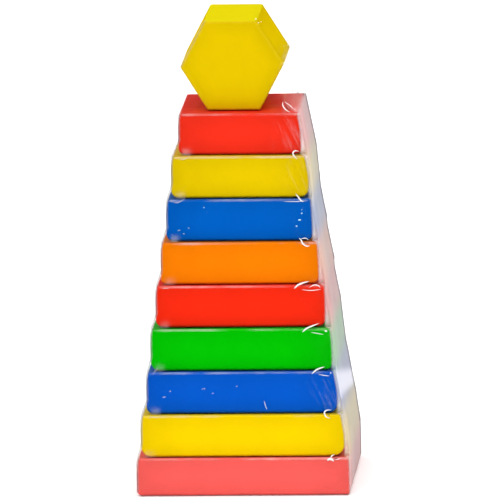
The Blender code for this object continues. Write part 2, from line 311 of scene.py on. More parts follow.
def clear_film(name):
    """Thin shrink film: clear where it lies tight and is looked at square on.

    It turns pale grey at a glancing angle on the slack side. Where it bends
    round a block's right upright edge it is painted white, a painted
    highlight, and the web that it spans beside that edge is painted milky
    over the shaded ledge behind. All attributes are in mm, apart from slack
    (1 on the loose right side and back), tug (how strongly a block's corner
    pulls the film into streaks, painted pale as highlights), over (1 above
    the uppermost block) and crease.
    """
    mat, n = new_material(name)
    point = n.millimetres()
    split = n.add("ShaderNodeSeparateXYZ")
    n.put(split.inputs[0], point)
    past, past_left = n.attribute("past"), n.attribute("past_left")
    above, depth, tail = n.attribute("above"), n.attribute("depth"), n.attribute("tail")
    slack, tug, over = n.attribute("slack"), n.attribute("tug"), n.attribute("over")
    corner = n.attribute("corner")

    def times(*values):
        total = values[0]
        for value in values[1:]:
            total = n.math("MULTIPLY", total, value)
        return total

    def rise(value, a, b):
        return n.remap(value, a, b, 0.0, 1.0, smooth=True)

    def fall(value, a, b):
        return n.remap(value, a, b, 1.0, 0.0, smooth=True)

    layer = n.add("ShaderNodeLayerWeight")
    layer.inputs["Blend"].default_value = 0.5
    glancing = n.math("POWER", layer.outputs["Facing"], 4.0)
    drawn = n.noise(n.place(point, scale=(1.0, 0.30, 0.35)), 0.075, 2.0, 0.5)
    fine = n.noise(n.place(point, scale=(1.0, 0.35, 0.25)), 0.16, 2.0, 0.5)
    leaning = n.place(point, rotation=(0.0, math.radians(25), 0.0))
    diagonal = n.noise(n.place(leaning, scale=(1.0, 0.2, 0.09)), 0.75, 2.0, 0.55)
    lengthwise = n.noise(n.place(point, scale=(1.0, 0.035, 0.4)), 0.62, 2.0, 0.5)

    # the slack side, from the bend at the front to the edge at the back
    side = times(n.math("MINIMUM", n.math("MULTIPLY", glancing, 1.85), 1.0), slack, n.remap(depth, 2.0, 14.0, 0.88, 1.0, smooth=True))
    side = times(side, n.remap(drawn, 0.3, 0.7, 0.95, 1.04), n.remap(over, 0.0, 1.0, 1.0, 0.45))
    side = times(side, n.math("MAXIMUM", fall(over, 0.2, 0.6), rise(split.outputs[0], 19.0, 24.0)))
    # the web beside each block's right upright edge, a veil painted over the shaded ledge there to lighten it
    web = times(rise(past, -0.7, 0.8), rise(above, -1.2, 3.2), fall(over, 0.1, 0.5), n.remap(drawn, 0.3, 0.7, 0.60, 0.74), fall(depth, 5.0, 16.0))
    # painted highlights: pale tension streaks at the right end of the front, and a soft pale patch at its lower left
    # corner
    streaks = times(n.remap(diagonal, 0.52, 0.68, 0.0, 0.11), tug, rise(past, -17.0, -3.0), rise(above, 1.0, 5.0), fall(depth, 2.0, 6.0))
    corner_highlight = times(rise(past_left, 1.2, 3.4), fall(past_left, 4.2, 8.0), rise(above, 0.0, 0.9), fall(above, 2.0, 4.8))
    corner_highlight = times(corner_highlight, n.remap(fine, 0.35, 0.65, 0.08, 0.20))
    on_top = times(over, n.remap(lengthwise, 0.50, 0.62, 0.0, 0.30), rise(split.outputs[0], 17.0, 25.0))
    # and a painted highlight, a pale thread where it bends over the front of each ledge
    threads = n.noise(n.place(point, scale=(0.5, 0.1, 0.3)), 0.12, 2.0, 0.5)
    ledge = times(fall(n.attribute("under"), 0.25, 0.95), n.remap(threads, 0.40, 0.68, 0.0, 0.32), fall(depth, 1.0, 3.0), rise(past_left, 0.5, 3.0), fall(over, 0.1, 0.5))
    # painted shade: a dark line where the film turns the left upright edge
    line = times(fall(corner, 0.35, 1.45), n.remap(over, 0.0, 1.0, 0.62, 0.30))

    veil = n.math("MAXIMUM", side, web)
    # the tight sides grey a little too, where they are seen edge on
    veil = n.math("MAXIMUM", veil, times(glancing, fall(over, 0.1, 0.5), n.remap(drawn, 0.3, 0.7, 0.16, 0.26)))
    for more in (streaks, corner_highlight, on_top, n.attribute("crease"), times(n.attribute("blade"), n.remap(glancing, 0.0, 0.8, 0.05, 0.5)), ledge):
        veil = n.math("ADD", veil, more)
    veil = n.math("ADD", veil, 0.0006)
    veil = n.math("MAXIMUM", veil, line, clamp=True)
    # light crosses both faces of the sheet, so each face takes its part of the veil
    share = n.math("SUBTRACT", 1.0, n.math("POWER", n.math("SUBTRACT", 1.0, n.math("MINIMUM", veil, 0.985)), 0.5))

    # painted highlight: the film is painted pale where it bends round the right upright edge, right beside that edge,
    # and in the painted highlights above
    bend = times(slack, fall(depth, 7.0, 17.0))
    near_bend = times(rise(past, -0.7, 0.2), fall(past, 0.7, 2.0), rise(above, 1.0, 5.0), fall(depth, 3.0, 10.0))
    pale = n.math("MAXIMUM", times(bend, 0.75), n.math("MAXIMUM", near_bend, n.math("MAXIMUM", times(corner_highlight, 5.0), n.math("ADD", times(streaks, 7.0), times(ledge, 4.0)))), clamp=True)
    grey = n.mix(n.remap(drawn, 0.3, 0.7, 0.0, 1.0), (0.62, 0.62, 0.62, 1.0), (0.70, 0.70, 0.70, 1.0))
    grey = n.mix(n.remap(fine, 0.50, 0.68, 0.0, 0.22), grey, (0.76, 0.75, 0.76, 1.0))
    # painted shade: the veil is painted greyer with its distance from the front
    grey = n.mix(times(slack, n.remap(depth, 8.0, 50.0, 0.0, 0.9, smooth=True)), grey, (0.54, 0.54, 0.545, 1.0))
    # painted light: the milky film takes on a little of the colour that it lies against, more so near the bend at the
    # front
    tint = n.add("ShaderNodeCombineColor")
    for socket, key in zip(tint.inputs, ("tint_r", "tint_g", "tint_b")):
        n.put(socket, n.attribute(key))
    colour = n.mix(n.math("MULTIPLY", pale, 0.92), grey, (0.93, 0.92, 0.93, 1.0))
    glow = times(slack, fall(depth, 8.0, 36.0), 0.17)
    colour = n.mix(n.math("ADD", n.remap(over, 0.0, 1.0, 0.21, 0.34), glow), colour, tint.outputs[0])
    # painted highlight: a pale blade on the right side, in the shape of a loose fold
    blade = n.attribute("blade")
    colour = n.mix(n.math("MULTIPLY", blade, 0.85), colour, (0.90, 0.90, 1.0, 1.0))
    # painted shade: the slack film darkens towards its back edge
    edge = n.math("SUBTRACT", 1.0, n.math("MULTIPLY", over, 0.6))
    colour = n.mix(times(slack, fall(tail, 4.0, 12.0), 0.75, edge), colour, (0.17, 0.155, 0.18, 1.0))
    colour = n.mix(line, colour, (0.04, 0.04, 0.045, 1.0))

    ripple = n.noise(n.place(point, scale=(1.0, 1.0, 0.35)), 0.30, 3.0, 0.55)
    surface = n.bump(ripple, 0.0005, 0.05)
    shader = n.add("ShaderNodeBsdfPrincipled")
    n.put(shader.inputs["Base Color"], colour)
    n.put(shader.inputs["Roughness"], n.remap(ripple, 0.3, 0.7, 0.16, 0.30))
    shader.inputs["Specular IOR Level"].default_value = 0.0
    n.put(shader.inputs["Normal"], surface)
    clear = n.add("ShaderNodeBsdfTransparent")
    clear.inputs["Color"].default_value = (0.997, 0.997, 0.997, 1.0)
    mixed = n.add("ShaderNodeMixShader")
    n.put(mixed.inputs[0], share)
    n.put(mixed.inputs[1], clear.outputs[0])
    n.put(mixed.inputs[2], shader.outputs[0])
    out = n.add("ShaderNodeOutputMaterial")
    n.put(out.inputs["Surface"], mixed.outputs[0])
    return mat


def fold_film(name, colour, most):
    """The doubled-up film in a hard fold, as good as opaque, in a flat colour that is painted light: a white or tinted
    glint, or a dark line of shade.
    """
    mat, n = new_material(name)
    point = n.millimetres()
    grain = n.noise(point, 1.6, 2.0, 0.5)
    shader = n.add("ShaderNodeBsdfPrincipled")
    n.put(
        shader.inputs["Base Color"],
        n.mix(n.remap(grain, 0.3, 0.7, 0.0, 1.0), tuple(0.93 * c for c in colour) + (1.0,), (*colour, 1.0)),
    )
    n.put(shader.inputs["Roughness"], n.remap(grain, 0.3, 0.7, 0.12, 0.22))
    shader.inputs["Specular IOR Level"].default_value = 0.6
    n.put(shader.inputs["Normal"], n.bump(grain, 0.0001, 0.3))
    clear = n.add("ShaderNodeBsdfTransparent")
    mixed = n.add("ShaderNodeMixShader")
    n.put(mixed.inputs[0], n.math("MULTIPLY", n.attribute("crease"), most, clamp=True))
    n.put(mixed.inputs[1], clear.outputs[0])
    n.put(mixed.inputs[2], shader.outputs[0])
    out = n.add("ShaderNodeOutputMaterial")
    n.put(out.inputs["Surface"], mixed.outputs[0])
    return mat


# ---------------------------------------------------------------- mesh helpers


class Build:
    """Collects rings of points, and the faces between them."""

    def __init__(self, *attributes):
        self.points, self.faces, self.slots = [], [], []
        self.values = {key: [] for key in attributes}

    def ring(self, points, **values):
        start = len(self.points)
        self.points.extend((float(p[0]), float(p[1]), float(p[2])) for p in points)
        for key, held in self.values.items():
            given = values.get(key, 0.0)
            held.extend(np.broadcast_to(given, (len(points),)).tolist())
        return list(range(start, len(self.points)))

    def skin(self, low, high, slot=0, closed=True):
        count = len(low)
        for k in range(count if closed else count - 1):
            after = (k + 1) % count
            self.faces.append((low[k], low[after], high[after], high[k]))
            self.slots.append(slot)

    def cap(self, ring, slot=0):
        self.faces.append(tuple(ring))
        self.slots.append(slot)

    def make(self, name, materials, angle=40.0, closed=True):
        mesh = bpy.data.meshes.new(name)
        mesh.from_pydata(self.points, [], self.faces)
        for key, held in self.values.items():
            layer = mesh.attributes.new(key, "FLOAT", "POINT")
            layer.data.foreach_set("value", np.array(held, np.float32))
        mesh.polygons.foreach_set("material_index", self.slots)
        for mat in materials:
            mesh.materials.append(mat)
        bm = bmesh.new()
        bm.from_mesh(mesh)
        if closed:
            bmesh.ops.recalc_face_normals(bm, faces=bm.faces)
        bm.to_mesh(mesh)
        bm.free()
        mesh.shade_smooth()
        if angle is not None:
            mesh.set_sharp_from_angle(angle=math.radians(angle))
        obj = bpy.data.objects.new(name, mesh)
        bpy.context.scene.collection.objects.link(obj)
        return obj


def outline(x0, x1, y0, y1, radius, per_corner=9, per_side=34):
    """A rounded rectangle, counter-clockwise from above from its right-front corner."""
    points = []
    corners = (
        (x1 - radius, y0 + radius),
        (x1 - radius, y1 - radius),
        (x0 + radius, y1 - radius),
        (x0 + radius, y0 + radius),
    )
    arcs = []
    for k, (cx, cy) in enumerate(corners):
        turn = -math.pi / 2 + k * math.pi / 2 + np.linspace(0, math.pi / 2, per_corner)
        arcs.append(np.stack([cx + radius * np.cos(turn), cy + radius * np.sin(turn)], 1))
    for k in range(4):
        a, b = arcs[k][-1], arcs[(k + 1) % 4][0]
        share = np.linspace(0, 1, per_side + 2)[1:-1, None]
        points += [arcs[k], a * (1 - share) + b * share]
    return np.concatenate(points)


def quarter_round(share):
    rest = 1 - min(max(share, 0.0), 1.0)
    return 1 - math.sqrt(1 - rest * rest)


def with_height(flat, z):
    return np.column_stack([flat, np.full(len(flat), z)])


# ---------------------------------------------------------------- the blocks

CORNER_RADIUS = 1.2 * MM
TOP_EASING = 0.8 * MM
BOTTOM_EASING = 1.6 * MM
LEFT_CROWN = 0.9 * MM
LEFT_REACH = 7.0 * MM
RIGHT_REACH = 12.0 * MM
BORE_RADIUS = 6.0 * MM
SOCKET_RADIUS = 5.3 * MM
BORE_MOUTH = 1.0 * MM
SOCKET_FLOOR = 3.7 * MM

BARE = bare_wood("bare_wood_bores", "z", 1)


def sand(points, normals, seed, amount):
    """Moves points a little along their normals, as hand sanding leaves them."""
    moved = np.array(points)
    for k, (p, q) in enumerate(zip(points, normals)):
        at = Vector((p[0], p[1], p[2])) * 45.0 + Vector((seed * 3.1, seed, seed * 1.7))
        moved[k] = p + q * (noise.noise(at) * amount)
    return moved


def rim_distance(points, lo, hi):
    """Distance in mm along the surface to the nearest edge of the block."""
    x = np.minimum(points[:, 0] - lo.x, hi.x - points[:, 0])
    y = np.minimum(points[:, 1] - lo.y, hi.y - points[:, 1])
    z = np.minimum(points[:, 2] - lo.z, hi.z - points[:, 2])
    return np.sort(np.stack([x, y, z]), axis=0)[1] / MM


def drawn_in(share):
    return max(1 - share, 0.0) ** 1.4


def block_section(z, height, half_x, half_y, rounding, crown):
    """(x0, x1, y0, y1) of a block at a height over its underside."""
    low = [reach * quarter_round(z / reach) for reach in (*rounding, BOTTOM_EASING)]
    high = (
        LEFT_CROWN * drawn_in((height - z) / LEFT_REACH),
        crown * drawn_in((height - z) / RIGHT_REACH),
        TOP_EASING * quarter_round((height - z) / TOP_EASING),
    )
    deep = half_y - low[2] - high[2]
    return -half_x + low[0] + high[0], half_x - low[1] - high[1], -deep, deep


def make_block(node, body, mat, seed, rounding, crown, bored=True):
    lo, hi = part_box(node)
    cx, cy = (lo.x + hi.x) / 2, (lo.y + hi.y) / 2
    half_x, half_y, height = (hi.x - lo.x) / 2, (hi.y - lo.y) / 2, hi.z - lo.z
    b = Build("rim", "low")
    most = max(*rounding, BOTTOM_EASING)
    up = [most * (1 - math.cos(math.pi / 2 * k / 15)) for k in range(16)]
    up += [z * MM for z in (0.1, 0.25, 0.45, 0.7, 1.0, 1.3)]
    down = [height - z * MM for z in (0.0, 0.03, 0.1, 0.22, 0.38, 0.58, 0.8, 1.3, 2.0, 3.0, 4.2, 5.6, 7.2, 9.0, 11.0)]
    middle = list(np.linspace(most, height - 11.0 * MM, 4)[1:-1])
    heights = []
    for z in sorted(up + down + middle):
        if not heights or z - heights[-1] > 0.02 * MM:
            heights.append(z)
    heights[-1] = height

    rings = []
    for z in heights:
        flat = outline(*block_section(z, height, half_x, half_y, rounding, crown), CORNER_RADIUS)
        points = with_height(flat, z) + np.array([cx, cy, lo.z])
        away = flat / np.maximum(np.abs(flat).max(1, keepdims=True), 1e-9)
        away = np.where(np.abs(away) > 0.93, np.sign(away), 0.0)
        away = away / np.maximum(np.linalg.norm(away, axis=1, keepdims=True), 1e-9)
        normals = np.column_stack([away, np.zeros(len(away))])
        points = sand(points, -normals * 0.5, seed, 0.10 * MM)
        rings.append(b.ring(points, rim=rim_distance(points, lo, hi), low=z / MM))
    for low, high in zip(rings, rings[1:]):
        b.skin(low, high)

    spokes = np.arctan2(*outline(-half_x, half_x, -half_y, half_y, CORNER_RADIUS).T[::-1])

    def round_ring(radius, z, rim=6.0):
        points = np.column_stack([cx + radius * np.cos(spokes), cy + radius * np.sin(spokes), np.full(len(spokes), z)])
        return b.ring(points, rim=rim, low=9.0)

    def face_to_bore(outer_ring, z, mouth, down):
        """Rings over a flat face, from its rim to the mouth of the bore."""
        outer = np.array([b.points[i] for i in outer_ring])
        inner = np.column_stack(
            [cx + mouth * np.cos(spokes), cy + mouth * np.sin(spokes), np.full(len(spokes), z)]
        )
        last = outer_ring
        for share in (0.04, 0.10, 0.2, 0.34, 0.5, 0.66, 0.8, 0.92, 1.0):
            points = outer * (1 - share) + inner * share
            dip = np.array([noise.noise(Vector(p) * 60.0 + Vector((seed, 5.0, 1.0))) for p in points])
            points[:, 2] = z + down * (0.02 + 0.03 * dip) * MM * (share < 1.0)
            ring = b.ring(points, rim=np.minimum(rim_distance(points, lo, hi), 12.0), low=9.0)
            b.skin(last, ring)
            last = ring
        return last

    radius = BORE_RADIUS if bored else SOCKET_RADIUS
    last = face_to_bore(rings[-1], hi.z, radius + BORE_MOUTH, -1)
    for step in range(1, 5):
        turn = math.pi / 2 * step / 4
        ring = round_ring(radius + BORE_MOUTH * (1 - math.sin(turn)), hi.z - BORE_MOUTH * (1 - math.cos(turn)), 0.4)
        b.skin(last, ring, slot=0 if step < 3 else 1)
        last = ring
    if bored:
        for z in np.linspace(hi.z - BORE_MOUTH, lo.z + BORE_MOUTH, 8)[1:]:
            ring = round_ring(radius, float(z))
            b.skin(last, ring, slot=1)
            last = ring
        for step in range(3, -1, -1):
            turn = math.pi / 2 * step / 4
            ring = round_ring(radius + BORE_MOUTH * (1 - math.sin(turn)), lo.z + BORE_MOUTH * (1 - math.cos(turn)), 0.4)
            b.skin(last, ring, slot=0 if step < 2 else 1)
            last = ring
        under = face_to_bore(rings[0], lo.z, radius + BORE_MOUTH, 1)
        count = len(under)
        first = len(b.points) - count
        # the last ring of the underside and the last ring of the bore are one and the same
        merge = dict(zip(range(first, first + count), last))
        b.faces = [tuple(merge.get(i, i) for i in face) for face in b.faces]
        b.points = b.points[:first]
        b.values = {key: held[:first] for key, held in b.values.items()}
    else:
        for z in np.linspace(hi.z - BORE_MOUTH, lo.z + SOCKET_FLOOR, 6)[1:]:
            ring = round_ring(radius, float(z))
            b.skin(last, ring, slot=1)
            last = ring
        b.cap(last, slot=1)
        outer = np.array([b.points[i] for i in rings[0]])
        centre = np.array([cx, cy, lo.z])
        last = rings[0]
        for share in (0.03, 0.1, 0.25, 0.45, 0.65, 0.85, 0.97):
            points = outer * (1 - share) + centre * share
            ring = b.ring(points, rim=np.minimum(rim_distance(points, lo, hi), 12.0), low=9.0)
            b.skin(last, ring)
            last = ring
        b.cap(last)
    piece = b.make(node + "_finished", [mat, BARE])
    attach(piece, body)
    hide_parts(node)
    return piece


BLOCKS = (
    # node, body, record slot, colour, pith of the batten (mm), roughness,
    # lower left and right rounding and right side's lean (mm)
    ("block_1_coral", "base", "coral_lacquer", (0.845, 0.107, 0.0955), (18.0, -60.0), 0.38, (2.6, 1.0), 0.2),
    ("block_2_yellow", "block_2", "yellow_lacquer", (0.83, 0.580, 0.0006), (-34.0, -20.0), 0.35, (5.5, 6.0), 1.8),
    ("block_3_blue", "block_3", "blue_lacquer", (0.0020, 0.0865, 0.520), (40.0, 120.0), 0.33, (3.5, 4.5), 1.8),
    ("block_4_green", "block_4", "green_lacquer", (0.0006, 0.468, 0.0006), (-12.0, 10.0), 0.35, (4.6, 3.2), 0.8),
    ("block_5_red", "block_5", "red_lacquer", (0.825, 0.0222, 0.0057), (60.0, 40.0), 0.34, (4.0, 4.0), 0.3),
    ("block_6_orange", "block_6", "orange_lacquer", (0.85, 0.193, 0.0012), (-50.0, 160.0), 0.35, (2.8, 3.5), 0.7),
    ("block_7_blue", "block_7", "blue_lacquer", (0.0004, 0.0975, 0.466), (8.0, 60.0), 0.32, (3.5, 3.2), 0.7),
    ("block_8_yellow", "block_8", "yellow_lacquer", (0.69, 0.487, 0.0006), (-70.0, 120.0), 0.36, (3.8, 4.7), 1.7),
    ("block_9_red", "block_9", "red_lacquer", (0.80, 0.0282, 0.0115), (26.0, 230.0), 0.35, (3.2, 2.6), 1.6),
)


def make_blocks():
    boxes = [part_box(row[0]) for row in BLOCKS]
    for k, (node, body, slot, colour, pith, roughness, rounding, crown) in enumerate(BLOCKS):
        lo, hi = boxes[k]
        upper = None
        if k + 1 < len(BLOCKS):
            above = boxes[k + 1]
            upper = (
                (above[0].x + above[1].x) / 2 / MM,
                (above[1].x - above[0].x) / 2 / MM,
                hi.z / MM,
            )
        ends = ((lo.x + hi.x) / 2 / MM, (hi.x - lo.x) / 2 / MM)
        mat = lacquer(slot + "_" + node.split("_")[1], colour, pith, k + 1, upper, roughness, ends)
        make_block(node, body, mat, k + 1, [r * MM for r in rounding], crown * MM, bored=k > 0)


make_blocks()


# ---------------------------------------------------------------- finial and spindle

HEX_SIDE = 24.4 * MM
HEX_HEIGHT = 42.6 * MM
HEX_OFF_CENTRE = -3.35 * MM
HEX_LEAN = -1.0 * MM
HEX_TWIST = 0.7 * MM
HEX_CORNER = 1.2 * MM
SOCKET_DEPTH = 14.0 * MM


def hexagon_corners():
    """The six corners seen from the front, x against height over the lower flat."""
    corners = []
    for k in range(6):
        turn = math.pi / 3 * k
        x = HEX_SIDE * math.cos(turn)
        z = HEX_HEIGHT / 2 * math.sin(turn) / math.sin(math.pi / 3)
        lean = HEX_LEAN * z / HEX_HEIGHT
        twist = HEX_TWIST * math.cos(turn) if k in (0, 3) else 0.0
        corners.append(Vector((x + lean + HEX_OFF_CENTRE, z + HEX_HEIGHT / 2 + twist)))
    return corners


def rounded_polygon(corners, radius, steps=8, per_side=14):
    points = []
    count = len(corners)
    arcs = []
    for k, corner in enumerate(corners):
        before = (corners[k - 1] - corner).normalized()
        after = (corners[(k + 1) % count] - corner).normalized()
        half = before.angle(after) / 2
        reach = radius / math.tan(half)
        centre = corner + (before + after).normalized() * radius / math.sin(half)
        first, last = corner + before * reach - centre, corner + after * reach - centre
        arcs.append(
            [
                centre + (first * (1 - s / steps) + last * (s / steps)).normalized() * radius
                for s in range(steps + 1)
            ]
        )
    for k in range(count):
        points += arcs[k]
        a, b = arcs[k][-1], arcs[(k + 1) % count][0]
        points += [a.lerp(b, s / (per_side + 1)) for s in range(1, per_side + 1)]
    return points


def inset_polygon(corners, depth):
    moved = []
    count = len(corners)
    for k, corner in enumerate(corners):
        before = (corners[k - 1] - corner).normalized()
        after = (corners[(k + 1) % count] - corner).normalized()
        half = before.angle(after) / 2
        moved.append(corner + (before + after).normalized() * depth / math.sin(half))
    return moved


def make_finial():
    lo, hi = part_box("hexagon_finial")
    base = lo.z
    corners = hexagon_corners()
    middle = sum(corners, Vector((0, 0))) / 6
    b = Build("rim", "low")
    rings = []

    def add(outline_points, y, rim):
        points = np.array([(p.x, y, p.y + base) for p in outline_points])
        wave = np.array([noise.noise(Vector(p) * 50.0 + Vector((31.0, 7.0, 3.0))) for p in points])
        inward = np.array([(middle.x - p.x, 0.0, middle.y - p.y) for p in outline_points])
        inward /= np.maximum(np.linalg.norm(inward, axis=1, keepdims=True), 1e-9)
        low = np.array([p.y / MM for p in outline_points])
        return b.ring(points + inward * (0.5 + 0.5 * wave)[:, None] * 0.05 * MM, rim=rim, low=low)

    def edge_distance(points, y):
        """From each point to the nearest edge of the prism, in mm."""
        along = min(y - lo.y, hi.y - y) / MM
        to_corner = np.array([min((p - c).length for c in corners) for p in points]) / MM
        return np.minimum(np.maximum(along, 0.0), to_corner)

    steps = 7
    profile = []
    for step in range(steps + 1):
        turn = math.pi / 2 * step / steps
        profile.append((HEX_CORNER * (1 - math.sin(turn)), HEX_CORNER * (1 - math.cos(turn))))
    front = [(inset, lo.y + depth) for inset, depth in profile]
    back = [(inset, hi.y - depth) for inset, depth in reversed(profile)]
    between = [(0.0, float(y)) for y in np.linspace(lo.y + HEX_CORNER, hi.y - HEX_CORNER, 22)[1:-1]]
    for inset, y in front + between + back:
        shape = rounded_polygon(inset_polygon(corners, inset), max(HEX_CORNER - inset, 0.35 * MM))
        rings.append(add(shape, y, edge_distance(shape, y)))
    for low, high in zip(rings, rings[1:]):
        b.skin(low, high)
    sides = [
        (corners[k], (corners[(k + 1) % 6] - corners[k]).normalized()) for k in range(6)
    ]
    for ring, y in ((rings[0], lo.y), (rings[-1], hi.y)):
        outer = np.array([b.points[i] for i in ring])
        centre = np.array([middle.x, y, middle.y + base])
        last = ring
        for share in (0.04, 0.1, 0.2, 0.35, 0.5, 0.65, 0.8, 0.95):
            points = outer * (1 - share) + centre * share
            points[:, 1] = y + (0.03 * MM if y < 0 else -0.03 * MM) * (1 - share)
            flat = [Vector((p[0], p[2] - base)) for p in points]
            rim = np.array(
                [min(abs((p - c).cross(d)) for c, d in sides) for p in flat]
            ) / MM
            inner = b.ring(points, rim=np.minimum(rim, 12.0), low=(points[:, 2] - base) / MM)
            b.skin(last, inner)
            last = inner
        b.cap(last)
    # the hexagon's upper facet is painted a lighter yellow, as painted light from above
    mat = lacquer("finial_lacquer_hexagon", (0.672, 0.471, 0.0006), (-40.0, 178.0), 12, None, 0.40, None, 0.0, (220.3, (0.605, 0.525, 0.004)))
    body = b.make("hexagon_finial_finished", [mat, BARE])

    cut = Build()
    turn = np.linspace(0, 2 * math.pi, 64, endpoint=False)

    def circle(radius, z):
        return cut.ring(np.column_stack([radius * np.cos(turn), radius * np.sin(turn), np.full(64, z)]))

    loops = [circle(BORE_RADIUS + BORE_MOUTH + 1.0 * MM, base - 1.0 * MM)]
    for step in range(0, 5):
        t = math.pi / 2 * step / 4
        loops.append(circle(BORE_RADIUS + BORE_MOUTH * (1 - math.sin(t)), base + BORE_MOUTH * (1 - math.cos(t))))
    for z in np.linspace(BORE_MOUTH, SOCKET_DEPTH, 6)[1:]:
        loops.append(circle(BORE_RADIUS, base + float(z)))
    for low, high in zip(loops, loops[1:]):
        cut.skin(low, high)
    cut.cap(loops[0])
    cut.cap(loops[-1])
    cutter = cut.make("socket_cutter", [BARE])
    hole = body.modifiers.new("socket", "BOOLEAN")
    hole.operation = "DIFFERENCE"
    hole.solver = "EXACT"
    hole.object = cutter
    hole.material_mode = "TRANSFER"
    graph = bpy.context.evaluated_depsgraph_get()
    mesh = bpy.data.meshes.new_from_object(body.evaluated_get(graph), depsgraph=graph)
    body.modifiers.clear()
    body.data = mesh
    bpy.data.objects.remove(cutter, do_unlink=True)
    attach(body, "finial")
    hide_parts("hexagon_finial")
    return body


def make_spindle():
    lo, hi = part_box("spindle")
    b = Build()
    count = 64
    turn = np.linspace(0, 2 * math.pi, count, endpoint=False)
    profile = [(4.5, 0.0), (4.75, 0.12), (4.93, 0.3), (5.0, 0.55)]
    length = (hi.z - lo.z) / MM
    profile += [(5.0, float(z)) for z in np.linspace(1.0, length - 1.6, 70)]
    for step in range(1, 9):
        t = math.pi / 2 * step / 8
        profile.append((5.0 - 1.5 * (1 - math.cos(t)), length - 1.5 * (1 - math.sin(t))))
    profile += [(2.2, length), (0.9, length)]
    rings = []
    for radius, z in profile:
        points = np.column_stack(
            [radius * MM * np.cos(turn), radius * MM * np.sin(turn), np.full(count, lo.z + z * MM)]
        )
        wave = np.array([noise.noise(Vector((p[0] * 220, p[1] * 220, p[2] * 9))) for p in points])
        points[:, :2] *= (1 - 0.004 * (0.5 + 0.5 * wave))[:, None]
        rings.append(b.ring(points))
    for low, high in zip(rings, rings[1:]):
        b.skin(low, high)
    b.cap(rings[0])
    b.cap(rings[-1])
    piece = b.make("spindle_finished", [bare_wood("bare_wood_spindle", "z", 4)])
    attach(piece, "base")
    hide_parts("spindle")
    return piece


make_finial()
make_spindle()


# ---------------------------------------------------------------- the film

FILM = 0.10 * MM       # wall
FILM_CLEAR = 0.10 * MM  # from the wood to the film's inner face
FILM_HEM = 1.6 * MM
FILM_TENT = 4.6 * MM
LEFT_TENT = 7.0 * MM


def film_sections():
    """(z, left, right, front, back, corner radius) of the inner face, from the hem up."""
    c = FILM_CLEAR
    stack = [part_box(row[0]) for row in BLOCKS]
    sections = []
    for k, (lo, hi) in enumerate(stack):
        left, right, front, back = lo.x - c, hi.x + c, lo.y - c, hi.y + c
        radius = CORNER_RADIUS + c
        if k == 0:
            sections.append((FILM_HEM, left, right, front, back, radius))
        drop, set_in = 4.5 * MM, 0.5 * BLOCKS[k][7] * MM
        shoulder = 2.5 * MM
        sections.append((hi.z - drop, left, right, front, back, radius))
        sections.append((hi.z - shoulder, left, right - set_in * (drop - shoulder) / drop, front, back, radius))
        sections.append((hi.z - TOP_EASING, left + 0.30 * MM, right - set_in * 0.85, front, back, radius))
        if k + 1 < len(stack):
            above_lo, above_hi = stack[k + 1]
            ahead = above_hi.z - drop - hi.z
            sections.append((hi.z + c, left + 0.55 * MM, right - set_in, front + 0.30 * MM, back - 0.05 * MM, radius))

            def between(low_value, high_value, height):
                return low_value + (high_value - low_value) * height / ahead

            for height in (FILM_TENT, LEFT_TENT):
                reach = min(height / LEFT_TENT, 1.0)
                sections.append(
                    (
                        hi.z + height,
                        left + 0.55 * MM + (above_lo.x - c - left - 0.55 * MM) * reach,
                        between(right - set_in, above_hi.x + c, height),
                        above_lo.y - c,
                        between(back, above_hi.y + c, height),
                        radius,
                    )
                )
        else:
            sections.append((hi.z + c, left + 0.6 * MM, right - set_in, front + 0.5 * MM, back - 0.5 * MM, radius))
    lo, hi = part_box("hexagon_finial")
    corners = hexagon_corners()
    low_left = min(p.x for p in corners) - c
    far_right = max(p.x for p in corners) + c
    hex_front, hex_back = lo.y - c, hi.y + c
    rim = sections[-1]
    for rise, share in ((0.30 * MM, 0.40), (0.75 * MM, 0.66), (1.6 * MM, 0.86), (3.0 * MM, 0.96), (4.5 * MM, 1.0)):
        sections.append(
            (
                stack[-1][1].z + c + rise,
                rim[1] + (low_left - rim[1]) * share,
                rim[2] + (far_right - rim[2]) * share,
                rim[3] + (hex_front - rim[3]) * share,
                rim[4] + (hex_back - rim[4]) * share,
                1.4 * MM + (rim[5] - 1.4 * MM) * (1 - share),
            )
        )
    left_corner = min(corners, key=lambda p: p.x)
    right_corner = max(corners, key=lambda p: p.x)
    upper = sorted((p for p in corners if p.y > HEX_HEIGHT * 0.9), key=lambda p: p.x)

    def side(z, corner, top):
        if z <= corner.y:
            return corner.x
        share = (z - corner.y) / (top.y - corner.y)
        return corner.x + (top.x - corner.x) * share

    tight = 1.4 * MM
    heights = sorted({left_corner.y - 1.0 * MM, left_corner.y, right_corner.y, HEX_HEIGHT * 0.75, HEX_HEIGHT - HEX_CORNER, HEX_HEIGHT})
    for z in heights:
        top = z >= HEX_HEIGHT
        sections.append(
            (
                lo.z + z + (c if top else 0.4 * c),
                side(z, left_corner, upper[0]) - c - (0.10 * MM if not top else -0.3 * MM),
                side(z, right_corner, upper[-1]) + c + (0.10 * MM if not top else -0.3 * MM),
                hex_front + 0.45 * MM * top,
                hex_back - 0.45 * MM * top,
                tight,
            )
        )
    return sections


SECTIONS = film_sections()
SECTION_Z = np.array([s[0] for s in SECTIONS])
SECTION_AT = [np.array([s[k] for s in SECTIONS]) for k in range(1, 6)]


def film_at(z):
    """(left, right, front, back, corner radius) of the inner face at a height."""
    return [float(np.interp(z, SECTION_Z, column)) for column in SECTION_AT]


def segment_ridge(points, a, b, width):
    """A smooth ridge of height 1 along the segment a-b, for points in the same plane."""
    a, b = np.array(a), np.array(b)
    along = b - a
    length = np.linalg.norm(along)
    share = np.clip(((points - a) @ along) / length**2, 0, 1)
    away = np.linalg.norm(points - (a + share[:, None] * along), axis=1)
    taper = np.sin(np.pi * np.clip(share, 0.02, 0.98)) ** 0.5
    return np.exp(-((away / width) ** 2)) * taper


